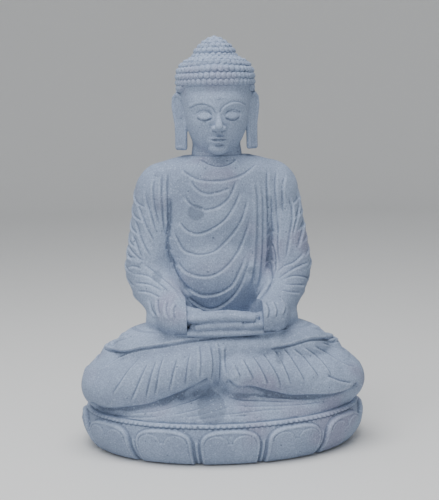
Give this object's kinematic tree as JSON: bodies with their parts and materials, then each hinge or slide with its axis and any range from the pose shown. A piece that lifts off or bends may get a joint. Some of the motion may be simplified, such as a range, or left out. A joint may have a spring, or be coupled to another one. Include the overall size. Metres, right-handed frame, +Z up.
{
  "type": "buddha statue",
  "caption": "Seated figure in meditation on an oval lotus base, in carved grey andesite, as doweled stone blocks on mortar beds.",
  "frame": {"origin": "on the ground, under the centre of the lotus base", "axes": "+Z up, the figure faces -Y, and its left hand is on the +X side"},
  "size_m": [0.7, 0.532, 1],
  "materials": {
    "andesite": "hand-rubbed matt volcanic stone, fine-grained, with darker round inclusions",
    "mortar": "stone-dust mortar, struck flush",
    "stainless": "sawn round bar",
    "packer_plastic": "moulded"
  },
  "bodies": {
    "root": {"lotus_base": "andesite", "legs_block": "andesite", "torso_block": "andesite", "hands_block": "andesite", "head_block": "andesite", "top_knot": "andesite", "base_mortar_bed": "mortar", "waist_mortar_bed": "mortar", "hands_mortar_bed": "mortar", "neck_mortar_bed": "mortar", "knot_mortar_bed": "mortar", "wrist_mortar_right": "mortar", "wrist_mortar_left": "mortar", "base_dowel_right": "stainless", "base_dowel_left": "stainless", "waist_dowel_right": "stainless", "waist_dowel_left": "stainless", "hand_dowel_right": "stainless", "hand_dowel_left": "stainless", "neck_dowel": "stainless", "knot_dowel": "stainless", "base_packer_1": "packer_plastic", "base_packer_2": "packer_plastic", "base_packer_3": "packer_plastic", "base_packer_4": "packer_plastic", "waist_packer_1": "packer_plastic", "waist_packer_2": "packer_plastic", "waist_packer_3": "packer_plastic", "neck_packer_1": "packer_plastic", "neck_packer_2": "packer_plastic", "neck_packer_3": "packer_plastic"}
  },
  "joints": []
}
